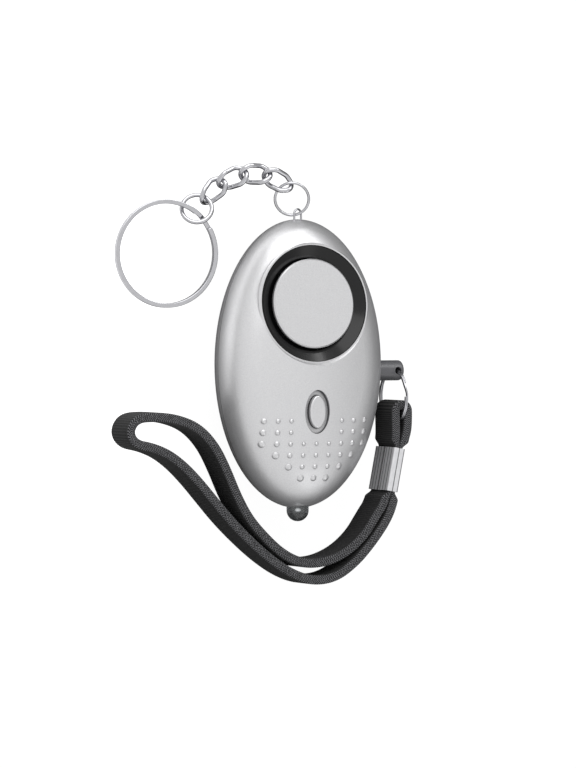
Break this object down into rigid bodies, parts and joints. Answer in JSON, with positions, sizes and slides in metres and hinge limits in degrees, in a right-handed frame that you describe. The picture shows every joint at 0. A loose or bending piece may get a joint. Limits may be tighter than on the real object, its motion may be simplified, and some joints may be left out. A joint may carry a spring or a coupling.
{
  "type": "personal safety alarm",
  "caption": "Oval hand-held alarm with a round siren, an oval test button, a lamp, a pull pin on a wrist strap and a key ring on a short chain.",
  "frame": {"origin": "middle of the rear shell's flat back, which lies on the floor", "axes": "+Z the way the siren faces, +Y along the case towards the key chain's end, +X towards the pull pin"},
  "size_m": [0.0697, 0.095, 0.0187],
  "materials": {
    "silver_paint": "satin silver paint on moulded plastic",
    "black_gloss": "gloss",
    "black_plastic": "matte",
    "pin_plastic": "satin",
    "chrome_wire": "bright nickel plate",
    "strap_webbing": "woven nylon",
    "clear_lens": "clear epoxy",
    "plate_brass": "rolled",
    "white_ceramic": "fired",
    "board_green": "solder mask",
    "contact_steel": "plated spring steel",
    "cell_steel": "bright",
    "screw_steel": "plated",
    "wire_sleeve": "soft sleeve",
    "coil_copper": "lacquered winding"
  },
  "bodies": {
    "case": {"front_shell": "silver_paint", "rear_shell": "silver_paint", "case_screws": "screw_steel", "horn_ring": "black_gloss", "siren_cap": "silver_paint", "piezo_plate": "plate_brass", "piezo_ceramic": "white_ceramic", "sound_chamber": "black_plastic", "siren_wires": "wire_sleeve", "switch_body": "black_plastic", "circuit_board": "board_green", "driver_coil": "coil_copper", "control_chip": "black_plastic", "button_cell_1": "cell_steel", "button_cell_2": "cell_steel", "button_cell_3": "cell_steel", "positive_contact": "contact_steel", "negative_contact": "contact_steel", "led_lamp": "clear_lens", "led_wires": "wire_sleeve", "pin_socket": "black_plastic", "switch_leaves": "contact_steel", "eyelet": "chrome_wire"},
    "button": {"button_cap": "silver_paint", "switch_plunger": "black_plastic"},
    "pin": {"pull_pin": "pin_plastic", "ring_loop": "strap_webbing", "crimp": "chrome_wire", "wrist_loop": "strap_webbing"},
    "pin_ring_turning": {"pin_ring": "chrome_wire"},
    "top_ring_swinging": {"top_ring": "chrome_wire"},
    "link_1_swinging": {"chain_link_1": "chrome_wire"},
    "link_2_swinging": {"chain_link_2": "chrome_wire"},
    "link_3_swinging": {"chain_link_3": "chrome_wire"},
    "link_4_swinging": {"chain_link_4": "chrome_wire"},
    "jump_ring_swinging": {"jump_ring": "chrome_wire"},
    "key_ring_swinging": {"key_ring": "chrome_wire"}
  },
  "joints": [
    {"name": "button_press", "type": "slide", "parent": "case", "child": "button", "axis": [0, 0, -1], "range_m": [0, 0.0005], "stiffness_N_per_m": 2000, "springref_m": -0.0002},
    {"name": "pin_pull", "type": "slide", "parent": "case", "child": "pin", "axis": [1, 0, 0], "range_m": [0, 0.012], "deforming": ["wrist_loop"]},
    {"name": "pin_ring_turn", "type": "hinge", "parent": "pin", "child": "pin_ring_turning", "pos_m": [0.0245, -0.00768, 0.0084], "axis": [1, 0, 0], "continuous": true},
    {"name": "top_ring_swing", "type": "hinge", "parent": "case", "child": "top_ring_swinging", "pos_m": [0, 0.03367, 0.0084], "axis": [0, 0, 1], "range_deg": [-24, 1]},
    {"name": "link_1_swing", "type": "hinge", "parent": "top_ring_swinging", "child": "link_1_swinging", "pos_m": [-0.00239, 0.04029, 0.0096], "axis": [0, 0, 1], "range_deg": [-18, 1]},
    {"name": "link_2_swing", "type": "hinge", "parent": "link_1_swinging", "child": "link_2_swinging", "pos_m": [-0.00726, 0.04256, 0.00768], "axis": [0, 0, 1], "range_deg": [-20, 1]},
    {"name": "link_3_swing", "type": "hinge", "parent": "link_2_swinging", "child": "link_3_swinging", "pos_m": [-0.01235, 0.04274, 0.00588], "axis": [0, 0, 1], "range_deg": [-14, 1]},
    {"name": "link_4_swing", "type": "hinge", "parent": "link_3_swinging", "child": "link_4_swinging", "pos_m": [-0.01694, 0.0407, 0.0039], "axis": [0, 0, 1], "range_deg": [-20, 1]},
    {"name": "jump_ring_swing", "type": "hinge", "parent": "link_4_swinging", "child": "jump_ring_swinging", "pos_m": [-0.02062, 0.03691, 0.00266], "axis": [0, 0, 1], "range_deg": [-10, 1]},
    {"name": "key_ring_swing", "type": "hinge", "parent": "jump_ring_swinging", "child": "key_ring_swinging", "pos_m": [-0.02299, 0.03435, 0.00292], "axis": [0, 0, 1], "range_deg": [-20, 2]}
  ]
}
